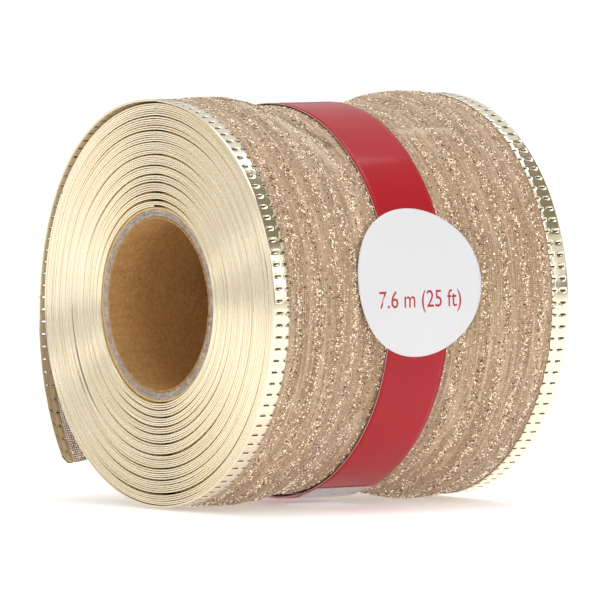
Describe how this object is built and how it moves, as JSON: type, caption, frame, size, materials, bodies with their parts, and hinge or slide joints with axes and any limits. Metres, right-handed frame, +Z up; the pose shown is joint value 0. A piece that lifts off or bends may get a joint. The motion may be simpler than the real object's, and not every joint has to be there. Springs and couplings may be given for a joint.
{
  "type": "ribbon spool",
  "caption": "Roll of wide wired-edge mesh ribbon wound on a paper tube core, held by a paper belly band with a round label.",
  "frame": {"origin": "middle of the core's bore, on the roll's axis", "axes": "+Y along the roll's axis from the front end to the back end, +Z up, with the round label on the +X side and the ribbon's free end at -X"},
  "size_m": [0.0732, 0.0636, 0.0718],
  "materials": {
    "kraft_liner": "smooth kraft paper",
    "chipboard": "grey chipboard",
    "core_wrap": "kraft paper",
    "start_tape": "frosted tape",
    "mesh": "sheer metallic mesh with glitter",
    "foil": "metallised champagne gold film",
    "wire": "drawn wire",
    "band_paper": "coated paper, gloss",
    "clear_tape": "clear tape",
    "label_paper": "coated paper, satin"
  },
  "bodies": {
    "roll": {"core_liner": "kraft_liner", "core_inner_ply": "chipboard", "core_outer_ply": "chipboard", "core_wrap": "core_wrap", "start_tape": "start_tape", "ribbon_web": "mesh", "front_edge_foil": "foil", "back_edge_foil": "foil", "front_edge_wire": "wire", "back_edge_wire": "wire"},
    "front_corner": {"front_corner_web": "mesh", "front_corner_foil": "foil", "front_corner_wire": "wire"},
    "back_corner": {"back_corner_web": "mesh", "back_corner_foil": "foil", "back_corner_wire": "wire"},
    "belly_band": {"belly_band": "band_paper", "band_seal_tape": "clear_tape", "round_label": "label_paper"}
  },
  "joints": [
    {"name": "band_turn", "type": "hinge", "parent": "roll", "child": "belly_band", "pos_m": [0, 0, 0], "axis": [0, 1, 0], "continuous": true},
    {"name": "front_corner_lift", "type": "hinge", "parent": "roll", "child": "front_corner", "pos_m": [-0.0366, -0.03175, 0], "axis": [0.2095, 0.5181, -0.8293], "range_deg": [-4, 60]},
    {"name": "back_corner_lift", "type": "hinge", "parent": "roll", "child": "back_corner", "pos_m": [-0.0366, 0.03175, 0], "axis": [-0.2095, 0.5181, 0.8293], "range_deg": [-4, 60]}
  ]
}
